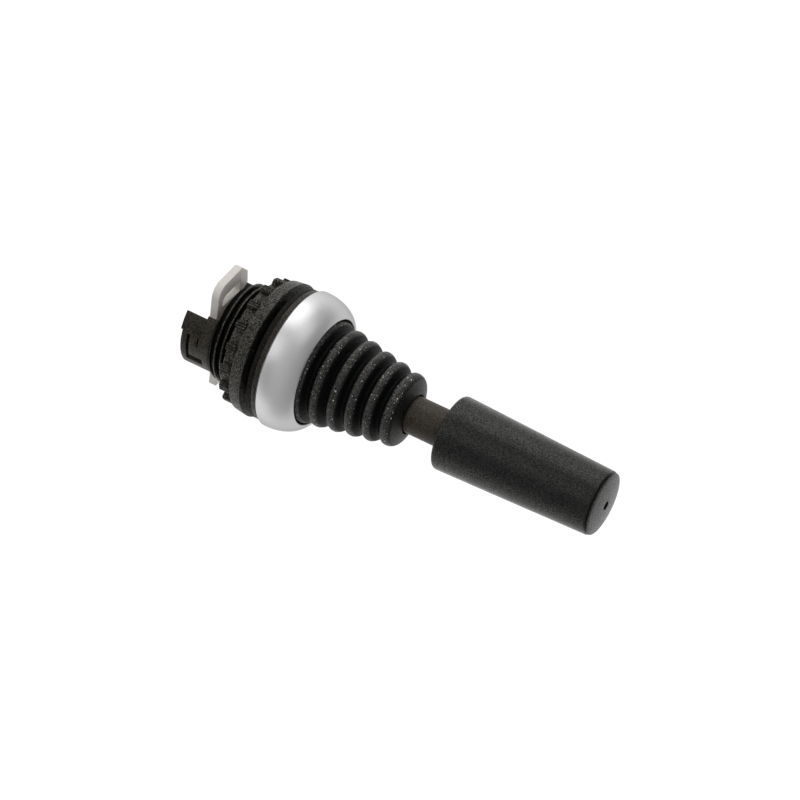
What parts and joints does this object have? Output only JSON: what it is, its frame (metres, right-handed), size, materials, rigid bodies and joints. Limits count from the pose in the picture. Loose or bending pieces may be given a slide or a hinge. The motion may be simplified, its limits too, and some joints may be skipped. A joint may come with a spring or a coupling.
{
  "type": "panel joystick operator",
  "caption": "Panel mounted joystick operator: tapered grip on a gimballed lever with a rubber bellows, satin bezel, threaded barrel, ring nut and rear rocker plate.",
  "frame": {"origin": "centre of the panel seat plane, which is the gasket's rear face", "axes": "+Z out of the panel along the lever to the grip's tip, +X through the windowed lobe of the rocker plate, +Y through one coupling arm"},
  "size_m": [0.0298, 0.0298, 0.0943],
  "materials": {
    "barrel_plastic": "matt moulded plastic",
    "gasket_rubber": "matt rubber",
    "bezel_satin": "satin",
    "nut_plastic": "rough moulded plastic",
    "bellows_rubber": "fine grained rubber",
    "shaft_dark": "matt dark coating",
    "grip_plastic": "eroded matt plastic",
    "rocker_acetal": "smooth unfilled plastic",
    "carrier_plastic": "moulded plastic",
    "bush_plastic": "smooth plastic",
    "plated_steel": "zinc plated",
    "spring_steel": "drawn wire",
    "turned_brass": "turned"
  },
  "bodies": {
    "housing": {"barrel": "barrel_plastic", "gasket": "gasket_rubber", "bezel": "bezel_satin", "carrier": "carrier_plastic", "gate_plate": "plated_steel", "snap_ring": "spring_steel", "spring_seat": "plated_steel", "return_spring": "spring_steel", "bellows": "bellows_rubber", "clamp_ring": "carrier_plastic"},
    "ring_nut_body": {"ring_nut": "nut_plastic"},
    "gimbal": {"gimbal_ring": "turned_brass", "ring_pins": "plated_steel"},
    "lever": {"shaft": "shaft_dark", "hub": "plated_steel", "hub_pin": "plated_steel", "washer": "plated_steel", "shaft_clips": "spring_steel", "neck_bush": "bush_plastic", "grip": "grip_plastic", "grip_insert": "turned_brass", "grip_cap": "grip_plastic", "rocker_plate": "rocker_acetal", "rocker_washer": "plated_steel", "rocker_clip": "spring_steel"}
  },
  "joints": [
    {"name": "tilt_about_x", "type": "hinge", "parent": "housing", "child": "gimbal", "pos_m": [0, 0, -0.00801], "axis": [1, 0, 0], "range_deg": [-7, 7], "stiffness_Nm_per_rad": 1.2, "deforming": ["bellows", "return_spring"]},
    {"name": "tilt_about_y", "type": "hinge", "parent": "gimbal", "child": "lever", "pos_m": [0, 0, -0.00801], "axis": [0, 1, 0], "range_deg": [-7, 7], "stiffness_Nm_per_rad": 1.2, "deforming": ["bellows", "return_spring"]},
    {"name": "nut_travel", "type": "slide", "parent": "housing", "child": "ring_nut_body", "axis": [0, 0, 1], "range_m": [-0.0039, 0.001]}
  ]
}
